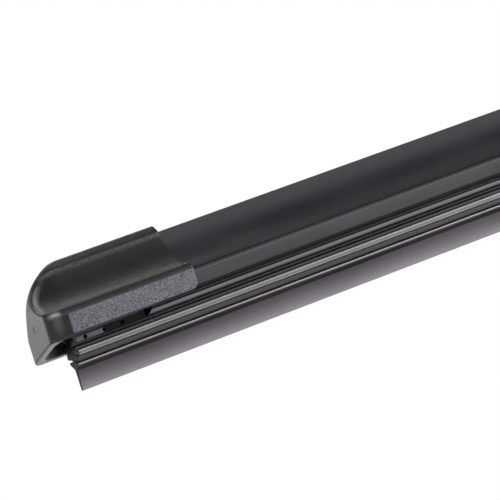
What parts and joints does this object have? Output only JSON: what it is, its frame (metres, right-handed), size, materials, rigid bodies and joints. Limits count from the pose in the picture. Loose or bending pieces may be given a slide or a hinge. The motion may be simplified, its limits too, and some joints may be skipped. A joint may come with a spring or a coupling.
{
  "type": "flat beam wiper blade",
  "caption": "Flat beam windscreen wiper blade: rubber squeegee on spring rails, hollow-faced wind spoiler, moulded end caps and a pivoting hook adapter.",
  "frame": {"origin": "middle of the pivot axis, which is the centre of the bend of a hook that holds the adapter", "axes": "+X along the blade, +Z away from the glass, -Y the side that the hollow face of the spoiler looks to"},
  "size_m": [0.413, 0.0184, 0.0282],
  "materials": {
    "squeegee_rubber": "graphite-coated satin black rubber",
    "spring_steel": "black-coated spring steel, satin",
    "spoiler_rubber": "smooth satin black elastomer",
    "cap_plastic": "fine-grained charcoal plastic",
    "clip_plastic": "plain black plastic",
    "coated_steel": "black-coated pressed steel",
    "cover_plastic": "fine-grained charcoal plastic",
    "pin_steel": "bright zinc-plated steel",
    "adapter_plastic": "smooth black plastic"
  },
  "bodies": {
    "adapter": {"hook_adapter": "adapter_plastic"},
    "blade": {"wiper_rubber": "squeegee_rubber", "front_rail": "spring_steel", "rear_rail": "spring_steel", "left_spoiler": "spoiler_rubber", "right_spoiler": "spoiler_rubber", "left_end_cap": "cap_plastic", "right_end_cap": "cap_plastic", "left_end_clip": "clip_plastic", "right_end_clip": "clip_plastic", "connector_base": "coated_steel", "connector_cover": "cover_plastic", "pivot_pin": "pin_steel"}
  },
  "joints": [
    {"name": "blade_pivot", "type": "hinge", "parent": "adapter", "child": "blade", "pos_m": [0, 0, 0], "axis": [0, 1, 0], "range_deg": [-20, 20]}
  ]
}
